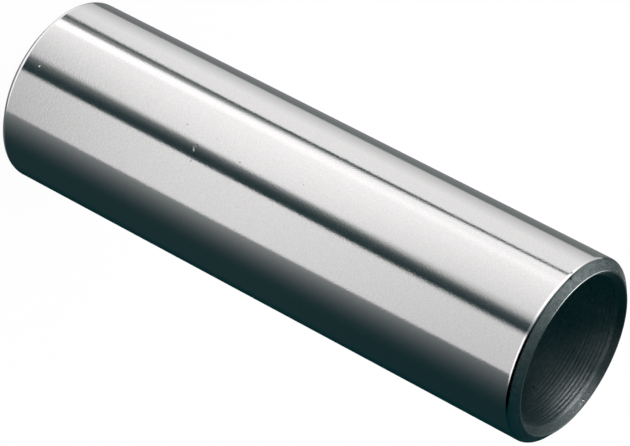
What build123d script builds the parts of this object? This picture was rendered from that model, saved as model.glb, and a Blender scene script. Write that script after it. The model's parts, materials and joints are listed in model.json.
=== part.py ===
from build123d import *
import os

# Gudgeon pin: the hollow steel pin that joins a piston to its connecting rod.
# It is turned and bored from one bar, hardened, and ground over its whole outer surface.
# It stands on its lower end with its axis on +Z, and the origin is the middle of that end.
# Both ends are alike, because the pin may go in either way round.

# Driving dimensions, in millimetres
pin_length = 73.0
pin_diameter = 22.0
wall_thickness = 2.0

# The ends. The lead-in chamfer takes what the land and the bore's mouth leave of the wall.
lead_in_length = 0.9
end_land_width = 0.2
mouth_taper_width = 0.65
mouth_taper_length = 0.8

# Radii of the broken edges. The largest lets the mouth's taper run softly into the bore.
shoulder_radius = 0.6
land_edge_radius = 0.15
bore_edge_radius = 0.8

# Radii of the surfaces about the axis, worked out from the sizes above
pin_radius = pin_diameter / 2
bore_radius = pin_radius - wall_thickness
mouth_radius = bore_radius + mouth_taper_width
land_radius = mouth_radius + end_land_width


def end_corners():
    """Corners of one end, from the bore outwards: radius, distance in from the end, edge radius."""
    return [
        (bore_radius, mouth_taper_length, bore_edge_radius),
        (mouth_radius, 0, land_edge_radius),
        (land_radius, 0, land_edge_radius),
        (pin_radius, lead_in_length, shoulder_radius),
    ]


def wall_section():
    """The wall cut along the axis: the lower end's corners outwards, then the upper end's inwards."""
    lower = end_corners()
    upper = [(radius, pin_length - inset, edge) for radius, inset, edge in reversed(lower)]
    points = [(radius, 0, height) for radius, height, edge in lower + upper]
    edge_radii = [edge for radius, height, edge in lower + upper]
    return make_face(FilletPolyline(*points, radius=edge_radii, close=True))


def gudgeon_pin():
    """The whole pin, turned about its axis from the wall's section."""
    pin = revolve(wall_section(), Axis.Z)
    pin.label = "gudgeon_pin"
    pin.color = Color(0.72, 0.74, 0.75)
    return pin


os.makedirs("parts", exist_ok=True)
pin = gudgeon_pin()
export_step(pin, "parts/gudgeon_pin.step")
print("gudgeon_pin", "valid", pin.is_valid, "volume", round(pin.volume, 1), "faces", len(pin.faces()))
print("size", pin.bounding_box().size)
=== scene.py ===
# %% [markdown]
# # A ground gudgeon pin
#
# A gudgeon pin is a short steel tube. It is turned and bored from bar, hardened, and then ground
# on the outside until it shines like a dull mirror. Nearly all that the eye sees of it is
# therefore the room around it, drawn out into long stripes, and the rest is in its small edges.
# The lesson makes the camera, the tube's surface, four finishes of one steel, and the studio with
# its floor.

# %% Load the frame
import json
import math

import bpy
import numpy as np
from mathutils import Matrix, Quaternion, Vector


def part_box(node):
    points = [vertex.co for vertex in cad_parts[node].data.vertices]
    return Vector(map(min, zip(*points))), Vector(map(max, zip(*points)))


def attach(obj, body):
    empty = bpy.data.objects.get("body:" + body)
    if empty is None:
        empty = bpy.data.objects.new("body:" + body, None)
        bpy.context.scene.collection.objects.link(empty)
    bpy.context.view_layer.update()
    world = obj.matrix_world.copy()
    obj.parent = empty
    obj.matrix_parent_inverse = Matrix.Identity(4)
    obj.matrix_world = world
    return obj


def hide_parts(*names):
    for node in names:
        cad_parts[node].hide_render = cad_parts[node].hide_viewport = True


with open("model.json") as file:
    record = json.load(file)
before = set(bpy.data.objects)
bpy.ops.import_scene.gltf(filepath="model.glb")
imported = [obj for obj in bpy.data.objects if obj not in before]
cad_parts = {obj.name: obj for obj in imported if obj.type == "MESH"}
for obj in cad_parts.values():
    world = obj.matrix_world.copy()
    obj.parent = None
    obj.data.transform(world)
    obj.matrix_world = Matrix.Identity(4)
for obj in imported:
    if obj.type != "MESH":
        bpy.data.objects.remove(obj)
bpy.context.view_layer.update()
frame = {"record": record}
pin_low, pin_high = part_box("gudgeon_pin")
pin_length = pin_high[2] - pin_low[2]
pin_radius = (pin_high[0] - pin_low[0]) / 2
MM = 0.001
print("pin", round(pin_length / MM, 3), "mm long,", round(2 * pin_radius / MM, 3), "mm across")

# %% [markdown]
# ## Camera
#
# The picture shows the pin lying aslant, with one open end turned to the viewer. The model stands
# on its end instead, as such a pin does on a bench. The same picture comes from a camera that
# looks down on the standing pin from the front and is then rolled about its own line of sight.
# One roll angle keeps the model upright, so nothing on it has to be turned for the picture.

# %% Set up the camera
camera_place = Vector((0.0, -388.33 * MM, 243.63 * MM))
aim_point = Vector((0.37 * MM, 0.0, 37.79 * MM))
camera_roll = math.radians(117.54)
sight = aim_point - camera_place

camera = bpy.data.objects.new("camera", bpy.data.cameras.new("camera"))
camera.data.sensor_width = 36.0
camera.data.lens = 225.85
camera.location = camera_place
camera.rotation_mode = "QUATERNION"
camera.rotation_quaternion = sight.to_track_quat("-Z", "Y") @ Quaternion((0, 0, 1), camera_roll)
bpy.context.scene.collection.objects.link(camera)
bpy.context.scene.camera = camera
bpy.context.scene.view_settings.view_transform = "Standard"
print("camera", round(sight.length / MM), "mm from the aim point")

# %% [markdown]
# ## The wall's section
#
# Cut along its axis, the wall is a long thin shape with eight corners. At each end a lead-in
# chamfer runs off the ground outside, a narrow flat land is left, and the bore opens in a short
# taper. No corner of hardened steel is sharp: each is broken by a small radius, and those radii
# catch the thin bright lines that make an edge look real. A bevel modifier would round all
# corners alike, so the arcs are worked out here, each with its own radius.

# %% Corners of the section
mounts = {mount["name"]: mount for mount in frame["record"]["mounts"]}
bore_radius = mounts["bore"]["dims"]["r_mm"] * MM
land_middle = mounts["upper_end"]["pos_m"][0]
land_width = 0.2 * MM
mouth_radius = land_middle - land_width / 2
land_radius = land_middle + land_width / 2
lead_in_length = 0.9 * MM
mouth_length = 0.8 * MM
bore_edge_radius = 0.8 * MM
land_edge_radius = 0.15 * MM
shoulder_radius = 0.6 * MM

# radius, distance in from the end, radius of the broken edge
end_corners = np.array([
    (bore_radius, mouth_length, bore_edge_radius),
    (mouth_radius, 0.0, land_edge_radius),
    (land_radius, 0.0, land_edge_radius),
    (pin_radius, lead_in_length, shoulder_radius),
])
# The upper end has the same corners in turned order, measured down from the top.
upper_corners = end_corners[::-1].copy()
upper_corners[:, 1] = pin_length - upper_corners[:, 1]
corners = np.vstack([end_corners, upper_corners])
print("wall", round((pin_radius - bore_radius) / MM, 3), "mm thick")

# %% Round the corners
arc_steps = 8


def corner_arcs(points, edge_radii, steps):
    """An arc in each corner of a closed outline, as an array of corners by steps by two.

    Let h be half the angle between a corner's two sides and e its edge radius. The arc touches
    both sides at e / tan(h) from the corner, and its middle is e / sin(h) along the bisector.
    The arc turns through pi - 2h about that middle, from one touching point to the other.
    """
    back = np.roll(points, 1, axis=0) - points
    on = np.roll(points, -1, axis=0) - points
    back /= np.linalg.norm(back, axis=1, keepdims=True)
    on /= np.linalg.norm(on, axis=1, keepdims=True)
    half = np.arccos((back * on).sum(axis=1)) / 2
    bisector = (back + on) / np.linalg.norm(back + on, axis=1, keepdims=True)
    middle = points + bisector * (edge_radii / np.sin(half))[:, None]
    start = points + back * (edge_radii / np.tan(half))[:, None] - middle
    side = np.sign(back[:, 1] * on[:, 0] - back[:, 0] * on[:, 1])
    turn = (side * (np.pi - 2 * half))[:, None] * np.linspace(0, 1, steps)
    x = start[:, :1] * np.cos(turn) - start[:, 1:] * np.sin(turn)
    y = start[:, :1] * np.sin(turn) + start[:, 1:] * np.cos(turn)
    return middle[:, None] + np.stack([x, y], axis=-1)


arcs = corner_arcs(corners[:, :2], corners[:, 2], arc_steps)
print("arcs", arcs.shape)

# %% [markdown]
# ## Feed rings in the bore
#
# The outside is ground, but the bore is only bored. A round-nosed tool leaves a shallow groove at
# each turn of the work, and light from the mouth picks the grooves out as fine rings. They are
# real relief and show in outline near the mouth, so they belong in the mesh and not in a bump map.
# Each groove is a parabola across its width. Its depth differs from ring to ring, because the
# tool springs a little, and it is greatest by the mouth, where the tool enters and chatters most.

# %% Work out the rings
ring_feed = 0.44 * MM
ring_depth = 0.058 * MM
shallow_share = 0.5
ring_fade = 10.0
# The rings near an end are seen, and have more samples across each than the ones deep inside.
seen_rings = 36
seen_samples = 8
deep_samples = 2
# The bore runs down from the end of the last arc to the start of the first.
bore_top = arcs[-1, -1, 1]
bore_bottom = arcs[0, 0, 1]
ring_count = round((bore_top - bore_bottom) / ring_feed)
chance = np.random.default_rng(7)


def ring_rows():
    """Radius and height down the bore wall: r = bore radius + depth * (1 - (2u - 1) ** 2).

    u runs from 0 to 1 across each ring. The depth is drawn once a ring, from the shallow share of
    the ring depth up to all of it. It falls off inwards as 1 / (1 + (n / ring_fade) ** 2), where n
    counts the rings from the nearer end.
    """
    count_in = np.minimum(np.arange(ring_count), ring_count - 1 - np.arange(ring_count))
    drawn = shallow_share + (1 - shallow_share) * chance.random(ring_count)
    depth = ring_depth * drawn / (1 + (count_in / ring_fade) ** 2)
    turns = np.concatenate([
        np.arange(0, seen_rings, 1 / seen_samples),
        np.arange(seen_rings, ring_count - seen_rings, 1 / deep_samples),
        np.arange(ring_count - seen_rings, ring_count, 1 / seen_samples),
    ])
    ring = turns.astype(int)
    u = turns - ring
    radius = bore_radius + depth[ring] * (1 - (2 * u - 1) ** 2)
    height = bore_top + (bore_bottom - bore_top) * turns / ring_count
    return np.stack([radius, height], axis=-1)


rings = ring_rows()
print(ring_count, "rings in the bore")

# %% [markdown]
# ## The surface of the wall
#
# The section is carried round the axis. Both the section and the circle are closed, so the grid
# closes both ways, like a ring, and has no seam and no pole. A flat stretch between two arcs gets
# a row close to each of its ends. Such holding rows keep the smooth shading of the arcs from
# spreading over the long straight wall, where it would bend every reflection.

# %% Lay out the rows
holding_gap = 0.02 * MM


def straight_rows(start, end):
    """The two holding rows of a straight side, each the holding gap in from its end."""
    along = (end - start) / np.linalg.norm(end - start)
    return np.array([start + along * holding_gap, end - along * holding_gap])


rows = [arcs[0]]
for before, after in zip(arcs, arcs[1:]):
    rows.append(straight_rows(before[-1], after[0]))
    rows.append(after)
# The first ring starts where the last arc ends, so its first row is there already.
rows.append(rings[1:])
section = np.vstack(rows)
print(len(section), "rows round the section")

# %% Carry the section round the axis
columns = 120


def revolve(outline, count):
    """Vertices and four-sided faces of a closed outline turned about Z.

    A point of radius r and height z goes to (r cos t, r sin t, z) for each angle t of the circle.
    Each face joins row i and row i + 1 between column j and column j + 1, counted round and round.
    """
    angle = np.linspace(0, 2 * np.pi, count, endpoint=False)
    x = outline[:, :1] * np.cos(angle)
    y = outline[:, :1] * np.sin(angle)
    z = np.broadcast_to(outline[:, 1:], x.shape)
    vertices = np.stack([x, y, z], axis=-1).reshape(-1, 3)
    row, column = np.indices(x.shape)
    next_row = (row + 1) % len(outline)
    next_column = (column + 1) % count
    faces = np.stack([
        row * count + column,
        row * count + next_column,
        next_row * count + next_column,
        next_row * count + column,
    ], axis=-1).reshape(-1, 4)
    return vertices, faces


vertices, faces = revolve(section, columns)
wall_mesh = bpy.data.meshes.new("ground_pin")
wall_mesh.from_pydata(vertices, [], faces)
wall_mesh.polygons.foreach_set("use_smooth", np.ones(len(faces), dtype=bool))
ground_pin = bpy.data.objects.new("ground_pin", wall_mesh)
bpy.context.scene.collection.objects.link(ground_pin)
print(2 * len(faces), "triangles")

# %% [markdown]
# ## Wiring shaders
#
# A material is a small program of nodes. Short helpers add a node, do a sum, ramp or ease a value,
# and mix two numbers or two colours. They keep the finishes and the studio below readable as
# formulas.

# %% Shader helpers
black = (0.0, 0.0, 0.0, 1.0)
white = (1.0, 1.0, 1.0, 1.0)


def add_node(tree, kind, inputs=(), **settings):
    """Add a node, set its settings, and feed its inputs with plain values or other sockets."""
    node = tree.nodes.new(kind)
    for name, value in settings.items():
        setattr(node, name, value)
    for name, value in dict(inputs).items():
        if isinstance(value, bpy.types.NodeSocket):
            tree.links.new(value, node.inputs[name])
        else:
            node.inputs[name].default_value = value
    return node


def sum_of(tree, operation, first, second=0.0):
    """One step of arithmetic on two numbers or sockets."""
    return add_node(tree, "ShaderNodeMath", {0: first, 1: second}, operation=operation).outputs[0]


def ramped(tree, value, start, end, low, high, curve="LINEAR"):
    """A straight ramp: low up to start, high from end on, and a straight line between them."""
    inputs = {"Value": value, "From Min": start, "From Max": end, "To Min": low, "To Max": high}
    return add_node(tree, "ShaderNodeMapRange", inputs, interpolation_type=curve).outputs[0]


def eased(tree, value, start, end, low=0.0, high=1.0):
    """A smooth step: low up to start, high from end on, and an S-shaped curve between them."""
    return ramped(tree, value, start, end, low, high, "SMOOTHSTEP")


def mixed(tree, share, first, second):
    """The first number at a share of 0, the second at a share of 1, and a blend between them."""
    return add_node(tree, "ShaderNodeMix", {0: share, 2: first, 3: second}).outputs[0]


def mixed_colour(tree, share, first, second, clamp_factor=True):
    """A blend of two colours. Where it isn't clamped, a share over 1 goes on past the second."""
    inputs = {0: share, 6: first, 7: second}
    settings = {"data_type": "RGBA", "clamp_factor": clamp_factor}
    return add_node(tree, "ShaderNodeMix", inputs, **settings).outputs[2]


# %% [markdown]
# ## Four finishes of one steel
#
# All four are the same bare metal and differ in how the tool left it. The wheel leaves the outside
# nearly a mirror, and turning leaves the chamfer softer. The bore and its mouth are only bored and
# stay dull. Their steel is given a dark colour, and the mouth's is darker still as painted shade.
# Both also give off a faint cold glow, which is painted light. The grain is a little longer round
# the pin than along it, as the tool's marks are. Noise on Object coordinates makes it with no
# unwrapping, and stays on the pin when the camera moves. The grain is both relief and a fleck of
# colour, since relief alone fades out on dull steel. Relief is in millimetres, and the Bump node's
# distance turns it into scene metres.
#
# Between the feed rings boring leaves grooves that are too fine to model one by one. Each draws a
# highlight out across itself, and the shader's anisotropy does that for one number.

# %% Steel with marks that run round the axis
patch_around = 4 * MM
patch_along = 2 * MM
# Noise seldom leaves the range between these two values.
noise_low = 0.3
noise_high = 0.7


def noise_round(tree, around, along):
    """Noise whose grains are about `around` long round the pin and `along` wide on its axis."""
    place = add_node(tree, "ShaderNodeTexCoord").outputs["Object"]
    scale = (1 / around, 1 / around, 1 / along)
    squeezed = add_node(tree, "ShaderNodeMapping", {"Vector": place, "Scale": scale}).outputs[0]
    inputs = {"Vector": squeezed, "Scale": 1.0, "Detail": 1.0}
    return add_node(tree, "ShaderNodeTexNoise", inputs).outputs[0]


def steel(name, colour, roughness, spread, relief, fleck, around, along, painted_glow=black):
    """Bare steel: metallic, of a colour, rough give or take the spread, with relief in mm.

    The fleck is the share by which single grains are lighter or darker than the colour. The painted
    glow is light that the steel itself gives off: the faint cold light that the picture shows in its
    deepest shade.
    """
    material = bpy.data.materials.new(name)
    material.use_nodes = True
    tree = material.node_tree
    shader = tree.nodes["Principled BSDF"]
    shader.inputs["Metallic"].default_value = 1.0
    shader.inputs["Emission Color"].default_value = painted_glow
    shader.inputs["Emission Strength"].default_value = 1.0
    patches = noise_round(tree, patch_around, patch_along)
    rough = ramped(tree, patches, noise_low, noise_high, roughness - spread, roughness + spread)
    tree.links.new(rough, shader.inputs["Roughness"])
    grain = noise_round(tree, around, along)
    lightness = ramped(tree, grain, noise_low, noise_high, 1.0 - fleck, 1.0 + fleck)
    flecked = add_node(tree, "ShaderNodeVectorMath", {0: colour, "Scale": lightness}, operation="SCALE")
    tree.links.new(flecked.outputs[0], shader.inputs["Base Color"])
    relief_height = sum_of(tree, "MULTIPLY", grain, relief)
    bump = add_node(tree, "ShaderNodeBump", {"Height": relief_height, "Distance": MM, "Strength": 1.0})
    bump.name = "relief"
    tree.links.new(bump.outputs["Normal"], shader.inputs["Normal"])
    return material


# %% Grooves that are too fine to model
groove_amount = 0.77
# The shader counts in full turns. A quarter of one draws a highlight out across the grooves.
groove_turn = 0.25


def groove_steel(material):
    """Draw a steel's highlights out along the axis, as grooves that run round the pin do."""
    tree = material.node_tree
    shader = tree.nodes["Principled BSDF"]
    round_pin = add_node(tree, "ShaderNodeTangent", direction_type="RADIAL", axis="Z").outputs[0]
    tree.links.new(round_pin, shader.inputs["Tangent"])
    shader.inputs["Anisotropic"].default_value = groove_amount
    shader.inputs["Anisotropic Rotation"].default_value = groove_turn


# %% Make the four steels
clean_colour = (0.75, 0.75, 0.75)
# The mouth's colour is the bored steel's made darker, as painted shade on its taper.
mouth_shaded_colour = (0.20, 0.22, 0.22)
bored_colour = (0.27, 0.30, 0.31)
# The bored steel gives off a faint cold glow, which is painted light in its deepest shade.
bore_painted_glow = (0.0, 0.005, 0.0055, 1.0)
ground_roughness = 0.08
turned_roughness = 0.25
bored_roughness = 0.48
# name, colour, roughness, its spread, relief in mm, fleck, then length and width of a grain, painted
# glow
ground_steel = steel("ground_steel", clean_colour, ground_roughness, 0.01, 0.003, 0.045,
                     0.17 * MM, 0.16 * MM)
turned_steel = steel("turned_steel", clean_colour, turned_roughness, 0.04, 0.005, 0.14,
                     0.50 * MM, 0.45 * MM)
mouth_steel = steel("mouth_steel", mouth_shaded_colour, bored_roughness, 0.05, 0.006, 0.20,
                    0.35 * MM, 0.25 * MM, bore_painted_glow)
bored_steel = steel("bored_steel", bored_colour, bored_roughness, 0.05, 0.006, 0.20,
                    0.35 * MM, 0.20 * MM, bore_painted_glow)
groove_steel(mouth_steel)
groove_steel(bored_steel)
print("roughness", ground_roughness, turned_roughness, bored_roughness)

# %% [markdown]
# ## Small marks on the ground outside
#
# The pin has been handled, and its outside has a few nicks, pits and light scratches. Each one is
# an ellipse on the surface. A Mapping node of the texture type carries the surface into the mark's
# own axes, where the ellipse is a unit ball, so a mark costs one length and one smooth step. A
# nick is dented, and its slopes mirror the next stripe. A pit is too steep for that, so its shade
# is painted dark into the steel's colour, and a light scratch is only a little darker than the
# steel. The shoulder's edge and the bore have a pit each, painted dark with no dent. On the mouth
# a few small dents are painted white, as painted glints.

# %% Nicks, pits and scratches
# bearing in degrees, height in mm, half length and half width in mm, slant in degrees, depth in mm,
# share of the mark's own colour. A slant of 0 lies round the pin and 90 lies along it.
# A pit's share of the dark mark colour is painted shade, and a scratch's share of it is wear.
outside_marks = {
    "curved nick, long stroke": (3.4, 25.95, 0.52, 0.10, 31, 0.008, 0.0),
    "curved nick, short stroke": (5.9, 25.95, 0.40, 0.11, 136, 0.007, 0.0),
    "pit beside the nick": (-3.1, 26.3, 0.15, 0.13, 0, 0.004, 0.5),
    "pit in the broad stripe": (14.6, 23.6, 0.14, 0.12, 0, 0.004, 0.6),
    "pit by the dark stripe": (8.9, 31.8, 0.14, 0.12, 0, 0.004, 0.7),
    "pit half way along": (14.6, 40.0, 0.13, 0.11, 0, 0.004, 0.5),
    "nick near the far end": (5.1, 3.1, 0.17, 0.13, 20, 0.012, 0.0),
    "scratch in the broad stripe": (14.9, 27.9, 0.50, 0.10, 83, 0.0, 0.15),
    "scratch under the bright stripe": (51.7, 26.8, 0.22, 0.12, 80, 0.0, 0.45),
    "first scratch in the low stripe": (-10.6, 32.3, 0.38, 0.13, 78, 0.0, 0.12),
    "second scratch in the low stripe": (-5.4, 32.6, 0.50, 0.10, 82, 0.0, 0.08),
    "third scratch in the low stripe": (-14.1, 34.0, 0.38, 0.13, 111, 0.0, 0.10),
    "scratch at the low stripe's edge": (-27.4, 34.5, 0.20, 0.11, 135, 0.0, 0.45),
}
# These two pits have no dent, and their near black is painted shade.
edge_pit_shade = {
    "pit where the shoulder meets the chamfer": (39.9, 72.29, 0.30, 0.26, 0, 0.0, 1.0),
}
bore_pit_shade = {
    "pit in the bore": (215.5, 67.27, 0.22, 0.22, 0, 0.0, 1.0),
}
# The mouth's small dents are real, and the white over them is painted highlight.
mouth_dents_and_painted_glints = {
    "first painted glint on the mouth": (205.2, 72.71, 0.22, 0.17, 0, 0.08, 1.0),
    "second painted glint on the mouth": (208.5, 72.73, 0.22, 0.17, 0, 0.08, 1.0),
    "third painted glint on the mouth": (199.0, 72.77, 0.14, 0.12, 0, 0.05, 0.8),
    "fourth painted glint on the mouth": (216.8, 72.71, 0.16, 0.12, 0, 0.05, 0.8),
}
# In a pit the dark colour is painted shade, and in a light scratch it is wear. The near black one is
# only painted shade.
pit_shade_and_scratch_colour = (0.10, 0.11, 0.12, 1.0)
pit_painted_shade = (0.01, 0.01, 0.01, 1.0)
shoulder_mark_radius = pin_radius - 0.2 * MM
mouth_mark_radius = bore_radius + 0.42 * MM


def mark_mask(tree, radius, bearing, height, half_length, half_width, slant):
    """1 in the middle of an elliptic mark at a radius from the axis, easing to 0 at its rim."""
    turn = math.radians(bearing)
    middle = (-math.sin(turn) * radius, -math.cos(turn) * radius, height * MM)
    inputs = {
        "Vector": add_node(tree, "ShaderNodeTexCoord").outputs["Object"],
        "Location": middle,
        "Rotation": (0.0, -math.radians(slant), -turn),
        "Scale": (half_length * MM, half_width * MM, half_width * MM),
    }
    inside = add_node(tree, "ShaderNodeMapping", inputs, vector_type="TEXTURE").outputs[0]
    away = add_node(tree, "ShaderNodeVectorMath", {0: inside}, operation="LENGTH").outputs["Value"]
    return eased(tree, away, 0.0, 1.0, 1.0, 0.0)


# The marks' colour is painted shade in a pit, painted highlight in a glint, and wear in a scratch.
def mark_steel(material, marks, radius, mark_colour):
    """Dent a steel and change its colour at each of the marks."""
    tree = material.node_tree
    shader = tree.nodes["Principled BSDF"]
    bump = tree.nodes["relief"]
    relief_height = bump.inputs["Height"].links[0].from_socket
    colour = shader.inputs["Base Color"].links[0].from_socket
    covered = 0.0
    for bearing, height, half_length, half_width, slant, depth, share in marks.values():
        mask = mark_mask(tree, radius, bearing, height, half_length, half_width, slant)
        dent = sum_of(tree, "MULTIPLY", mask, depth)
        relief_height = sum_of(tree, "SUBTRACT", relief_height, dent)
        covered = sum_of(tree, "ADD", covered, sum_of(tree, "MULTIPLY", mask, share))
    tree.links.new(relief_height, bump.inputs["Height"])
    tree.links.new(mixed_colour(tree, covered, colour, mark_colour), shader.inputs["Base Color"])


mark_steel(ground_steel, outside_marks, pin_radius, pit_shade_and_scratch_colour)
for material in (ground_steel, turned_steel):
    mark_steel(material, edge_pit_shade, shoulder_mark_radius, pit_painted_shade)
mark_steel(bored_steel, bore_pit_shade, bore_radius, pit_painted_shade)
# Here white paints a highlight over each small dent, as a glint.
mark_steel(mouth_steel, mouth_dents_and_painted_glints, mouth_mark_radius, white)
print(len(outside_marks) + len(edge_pit_shade) + len(bore_pit_shade) + len(mouth_dents_and_painted_glints), "marks")

# %% Give each stretch of the section its finish
# The wheel also reaches round the shoulder and over the land. The mouth is bored, and so is its edge.
shoulder_drop = 0.24 * MM
land_reach = 0.05 * MM
mouth_reach = 0.06 * MM
bore_reach = 0.12 * MM
finishes = (ground_steel, turned_steel, bored_steel, mouth_steel)
for material in finishes:
    wall_mesh.materials.append(material)
ground, turned, bored, mouth = range(len(finishes))
face_radius = (section[:, 0] + np.roll(section[:, 0], -1)) / 2
face_finish = np.full(len(section), turned)
face_finish[face_radius > pin_radius - shoulder_drop] = ground
face_finish[face_radius < land_radius + land_reach] = ground
face_finish[face_radius < mouth_radius + mouth_reach] = mouth
face_finish[face_radius < bore_radius + bore_reach] = bored
wall_mesh.polygons.foreach_set("material_index", np.repeat(face_finish, columns).astype(np.int32))
print("rows of each finish", np.bincount(face_finish))

# %% Put the dressed pin in place of the bare one
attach(ground_pin, "root")
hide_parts("gudgeon_pin")

# %% [markdown]
# ## The studio
#
# A bright metal has no shade of its own. What looks like light and dark on it is the studio: tall
# white cards with dark gaps between them. Lamps would give glints, and cards built as planes would
# have to be kept off the floor and out of other views. The world does the same more simply: each
# card is a stretch of bearing round the pin, with soft or sharp edges. Only glossy rays see the
# cards. The camera sees white, and the floor gets an even white light.

# %% Directions in the world
world = bpy.data.worlds.new("studio")
world.use_nodes = True
bpy.context.scene.world = world
sky = world.node_tree
sky.nodes.clear()
towards = add_node(sky, "ShaderNodeTexCoord").outputs["Generated"]
axes = add_node(sky, "ShaderNodeSeparateXYZ", {0: towards}).outputs
left = sum_of(sky, "MULTIPLY", axes[0], -1.0)
front = sum_of(sky, "MULTIPLY", axes[1], -1.0)
# degrees round the pin from the front, growing to the left
bearing = sum_of(sky, "DEGREES", sum_of(sky, "ARCTAN2", left, front))
# degrees above the horizon
height = sum_of(sky, "DEGREES", sum_of(sky, "ARCSINE", axes[2]))

# %% [markdown]
# The pin's far end, middle and near end reflect the cards at three heights. A card that narrows or
# dims towards one end is therefore a value that changes between those heights. Besides plain sums,
# five formulas say all of it: a value from end to end, an edge at a bearing, the stretch between
# two edges, a level that runs across a card, and a band that rises and falls.

# %% Formulas for cards
far_height = -33.0
middle_height = -28.6
near_height = -25.0
far_part = ramped(sky, height, far_height, middle_height, 1.0, 0.0)
near_part = ramped(sky, height, middle_height, near_height, 0.0, 1.0)
# A square or cube of the far part changes little until close to the far end.
far_square = sum_of(sky, "POWER", far_part, 2.0)
far_cube = sum_of(sky, "POWER", far_part, 3.0)


def product(first, second):
    """The product of two sky values."""
    return sum_of(sky, "MULTIPLY", first, second)


def less(first, second):
    """The first sky value less the second."""
    return sum_of(sky, "SUBTRACT", first, second)


def total(*values):
    """The sum of several sky values."""
    result = values[0]
    for value in values[1:]:
        result = sum_of(sky, "ADD", result, value)
    return result


def along(far, middle, near, far_law=far_part):
    """A value from the pin's far end, by its law, to its middle, and straight on to its near end."""
    return total(product(far_law, far - middle), product(near_part, near - middle), middle)


def past(place, soft):
    """0 before a bearing and 1 after it, eased over `soft` degrees to each side of it."""
    return eased(sky, sum_of(sky, "DIVIDE", less(bearing, place), soft), -1.0, 1.0)


def between(start, end):
    """1 where the start edge is passed and the end edge isn't."""
    return product(start, less(1.0, end))


def across(start, end, low, high):
    """A level that runs straight from low at the start bearing to high at the end bearing."""
    return ramped(sky, bearing, start, end, low, high)


def band(value, rise_start, rise_end, fall_start, fall_end):
    """0 before the rise, 1 between the rise and the fall, and 0 after the fall, eased in both."""
    rise = eased(sky, value, rise_start, rise_end)
    fall = eased(sky, value, fall_start, fall_end, 1.0, 0.0)
    return product(rise, fall)


# %% [markdown]
# Three cards stand round the pin and show as its three light stripes. The main one is the widest
# and brightest, starts softly and has a hot strip by its end. The low one is a little dimmer, and
# the high one has sharp edges. Each has a start, an end, a level across it, and the light that
# these make. Bearings and soft edges are in degrees, and a level of 1 is white.

# %% The low card
low_start = past(along(-57.6, -57.4, -54.9), 1.5)
low_end = past(along(-3.2, -3.8, -5.6), along(2.6, 1.1, 4.0))
low_inside = between(low_start, low_end)
low_level = across(-57.0, -3.0, along(0.46, 0.88, 0.69, far_cube), along(0.58, 0.95, 0.77, far_cube))
low_light = product(low_inside, low_level)

# %% The main card and its hot strip
main_start = past(along(18.1, 14.1, 13.8), along(5.5, 2.2, 8.0))
# The bend is nothing at both ends of the pin's far half, and greatest between them.
bend_size = 4.9
far_bend = product(less(far_square, far_part), bend_size)
main_end = past(total(along(78.8, 78.0, 81.0), far_bend), along(1.0, 3.5, 1.2))
main_inside = between(main_start, main_end)
main_level = across(14.0, 66.0, along(0.46, 1.00, 0.81, far_cube), along(1.06, 1.21, 1.15))
strip_start = past(along(66.5, 65.0, 61.0), along(1.6, 3.5, 3.5))
strip_end = past(along(80.0, 72.0, 69.0), 3.0)
hot_strip = product(between(strip_start, strip_end), along(0.30, 0.13, 0.08))
main_light = product(main_inside, total(main_level, hot_strip))

# %% The high card
high_start = past(along(91.5, 84.5, 84.2, far_square), 0.9)
high_end = past(along(137.3, 136.4, 136.0), 1.6)
high_inside = between(high_start, high_end)
high_rise = across(88.0, 116.0, along(0.78, 1.0, 0.98, far_cube), along(0.93, 1.0, 0.98, far_cube))
high_fall = across(108.0, 137.0, 1.0, 0.57)
high_light = product(product(high_inside, high_rise), high_fall)
print("three cards of", len(sky.nodes), "nodes")

# %% Gaps between the cards
gap_level = 0.17
gap_least = 0.008
gap_rise = sum_of(sky, "POWER", ramped(sky, bearing, 0.0, 12.0, 0.0, 1.0), 3.0)
near_glow = product(near_part, across(-2.0, 3.0, 0.0, 0.03))
gap_glow = total(product(product(gap_rise, gap_level), along(0.6, 1.0, 2.0)), near_glow, gap_least)
gap_inside = between(low_end, main_start)
gap_light = product(gap_inside, gap_glow)

# The thin gap before the high card glows up to a sharp edge and is darker past it.
line_dark = past(along(83.6, 81.4, 81.4), 0.6)
line_light = total(
    product(between(main_end, line_dark), along(0.18, 0.18, 0.02)),
    product(between(main_end, high_start), along(0.13, 0.0, 0.03)),
)
# Past the high card, behind the pin, the studio glows a little, and less so higher up.
edge_fade = eased(sky, height, -20.0, 2.0, 1.0, 0.3)
edge_light = product(product(high_end, across(137.0, 165.0, 0.155, 0.22)), edge_fade)

# %% [markdown]
# Below the last card the studio darkens by degrees, as a table does away from a lamp. A cube law
# drops quickly at first and then slowly, which a straight ramp can't do.

# %% The dark side
dark_start = -57.0
dark_end = -115.0
dark_level = 0.29
darkness = sum_of(sky, "POWER", ramped(sky, bearing, dark_end, dark_start, 0.0, 1.0), 3.0)
dark_glow = product(product(darkness, dark_level), along(0.8, 1.0, 0.54))
rest_glow = product(across(-156.0, -140.0, 0.002, 0.011), along(1.15, 1.25, 0.8))
dark_light = total(product(dark_glow, less(1.0, low_start)), rest_glow)

# %% [markdown]
# The ends see more of the studio than the long outside does. The rounded shoulder looks up past
# the cards, which glow there and then stop, so it shows a white line with a black one beside it.
# The lead-in chamfer looks higher, to a ceiling that leans back and a soft lamp on the left. The
# bore is lit through its mouth by a strong low light in front on the left, whose height sets how
# deep the light reaches. The narrow rounded edge of the land sees a slim lamp behind the pin, and
# the far end's shoulder looks down to a bright floor, in front and behind.

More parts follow.
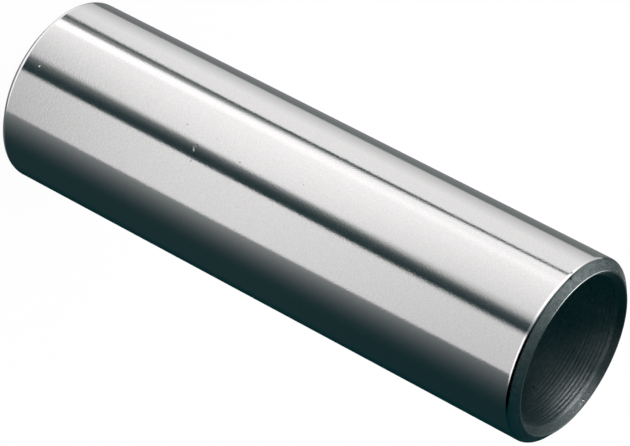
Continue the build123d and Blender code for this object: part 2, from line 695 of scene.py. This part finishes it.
# %% Light above the cards
glare = eased(sky, height, -22.0, -12.0)
glare_rest = eased(sky, bearing, -15.0, 30.0, 0.05, 0.4)
glare_fall = eased(sky, height, 5.0, 28.0, 1.0, glare_rest)
glare_level = product(eased(sky, bearing, 80.0, 140.0, 1.35, 0.50), glare_fall)
low_spill = between(past(-59.0, 10.0), low_end)
card_glare = product(total(low_spill, main_inside, high_inside), glare_level)
gap_glare = product(gap_inside, gap_level)

# %% The strong low light that fills the bore
key_level = 7.0
key_top = eased(sky, bearing, 10.0, 80.0, 13.0, 27.0)
key_inside = product(band(bearing, 16.0, 42.0, 44.0, 94.0), band(height, -6.0, 2.0, 2.0, key_top))
key_light = product(key_inside, key_level)

card_light = total(low_light, main_light, high_light)
cards = mixed(sky, glare, card_light, total(card_glare, key_light, gap_glare))
around_pin = total(cards, gap_light, line_light, edge_light, dark_light)

# %% The sloping top of the cards
top_rise = ramped(sky, bearing, -80.0, 28.0, -8.0, 42.0)
top_drop = eased(sky, bearing, 64.0, 113.0, 0.0, 36.0)
top_height = less(top_rise, top_drop)
top_soft = 4.0
above_top = sum_of(sky, "DIVIDE", less(height, top_height), top_soft)
card_top = eased(sky, above_top, -1.0, 1.0)

# %% The ceiling
# The stretch between the cards' top and the ceiling is black in front and partly filled elsewhere.
back_tilt = math.radians(30.0)
overhead = less(product(axes[2], math.cos(back_tilt)), product(front, math.sin(back_tilt)))
right_fill = 0.35
left_fill = 0.12
back_fill = 0.88
on_right = less(1.0, past(-100.0, 12.0))
on_left = past(2.0, 14.0)
on_back = past(98.0, 7.0)
fill = total(product(on_right, right_fill), product(on_left, left_fill), product(on_back, back_fill))
ceiling_edge = sum_of(sky, "MAXIMUM", eased(sky, overhead, 0.60, 0.68), fill)
ceiling_level = ramped(sky, left, -0.6, 0.3, 0.006, 0.072)

# %% The soft lamp
# The lamp is round. Its angle to a ray is the arc cosine of the dot product of two directions.
lamp_level = 0.13
lamp_bearing = math.radians(104.0)
lamp_height = math.radians(40.0)
lamp_place = (
    -math.sin(lamp_bearing) * math.cos(lamp_height),
    -math.cos(lamp_bearing) * math.cos(lamp_height),
    math.sin(lamp_height),
)
alignment = add_node(sky, "ShaderNodeVectorMath", {0: towards, 1: lamp_place}, operation="DOT_PRODUCT")
lamp_angle = sum_of(sky, "DEGREES", sum_of(sky, "ARCCOSINE", alignment.outputs["Value"]))
soft_lamp = eased(sky, lamp_angle, 15.0, 55.0, lamp_level, 0.0)
ceiling = product(ceiling_edge, total(ceiling_level, soft_lamp))
walls = mixed(sky, card_top, around_pin, ceiling)

# %% The slim lamp
slim_level = 2.6
slim_start = eased(sky, height, 36.0, 58.0, 153.0, 126.0)
slim_across = between(past(slim_start, 3.0), past(169.0, 3.0))
slim_inside = product(slim_across, band(height, 22.0, 36.0, 58.0, 70.0))
above = total(walls, product(slim_inside, slim_level))

# %% Light below the cards
front_glow = eased(sky, bearing, -75.0, -50.0, 0.12, 1.2)
back_rise = eased(sky, bearing, 20.0, 100.0, 0.2, 1.2)
back_fall = eased(sky, bearing, 122.0, 158.0, 1.0, 0.2)
floor_glow = ramped(sky, front, -0.3, 0.1, product(back_rise, back_fall), front_glow)
below = eased(sky, height, -36.0, -41.0)
level = mixed(sky, below, above, floor_glow)

# %% Colour the light
# The level mixes from the shade's colour to the light's, and on past it where light is over white.
shade_colour = (0.0, 0.021, 0.025, 1.0)
card_colour = (1.0, 0.986, 0.984, 1.0)
high_colour = (0.91, 1.0, 1.0, 1.0)
high_shade = sum_of(sky, "MAXIMUM", ceiling_edge, total(on_right, on_left))
shade = mixed_colour(sky, mixed(sky, card_top, 1.0, high_shade), black, shade_colour)
bright = mixed_colour(sky, card_top, card_colour, high_colour)
tinted = mixed_colour(sky, level, shade, bright, clamp_factor=False)

# %% Share the light out among the rays
ray = add_node(sky, "ShaderNodeLightPath").outputs
seen = mixed_colour(sky, ray["Is Glossy Ray"], white, tinted)
studio_light = add_node(sky, "ShaderNodeBackground", {"Color": seen, "Strength": 1.0})
add_node(sky, "ShaderNodeOutputWorld", {"Surface": studio_light.outputs[0]})
# A world that is sampled as a lamp is looked up with no kind of ray, and would be white on rough steel.
world.cycles.sampling_method = "NONE"
print("the studio has", len(sky.nodes), "nodes")

# %% [markdown]
# ## Floor
#
# The floor is pale and plain and only has to hold the pin's soft shadow. Part of its white is
# its own glow and only part is lit, so the shadow stays faint. Glossy rays pass it, because the
# cards stand lower than the pin's foot. They would pass it inside the bore too, so a small round
# of the same floor, a hair higher, closes the bore for them.

# %% Paint the floor
lit_share = 0.06
floor_paint = bpy.data.materials.new("white_floor")
floor_paint.use_nodes = True
paint = floor_paint.node_tree
paint_shader = paint.nodes["Principled BSDF"]
paint_shader.inputs["Base Color"].default_value = (lit_share, lit_share, lit_share, 1.0)
paint_shader.inputs["Roughness"].default_value = 1.0
paint_shader.inputs["Specular IOR Level"].default_value = 0.0
paint_shader.inputs["Emission Color"].default_value = white
camera_ray = add_node(paint, "ShaderNodeLightPath").outputs["Is Camera Ray"]
glow = sum_of(paint, "MULTIPLY", camera_ray, 1.0 - lit_share)
paint.links.new(glow, paint_shader.inputs["Emission Strength"])

# %% Make the floor
floor_corners = 4
floor_radius = 4.0
round_corners = 48
round_lift = 0.02 * MM


def floor_piece(name, corner_count, radius, level):
    """A flat many-sided piece of floor: corners at equal angles on a circle of the given radius."""
    angle = (np.arange(corner_count) + 0.5) * 2 * np.pi / corner_count
    ring = np.stack([radius * np.cos(angle), radius * np.sin(angle), 0 * angle + level], axis=-1)
    mesh = bpy.data.meshes.new(name)
    mesh.from_pydata(ring, [], [list(range(corner_count))])
    mesh.materials.append(floor_paint)
    piece = bpy.data.objects.new(name, mesh)
    bpy.context.scene.collection.objects.link(piece)
    return piece


floor = floor_piece("floor", floor_corners, floor_radius, 0.0)
floor.visible_glossy = False
bore_floor = floor_piece("bore_floor", round_corners, mouth_radius, round_lift)
print("floor pieces", floor.name, bore_floor.name)
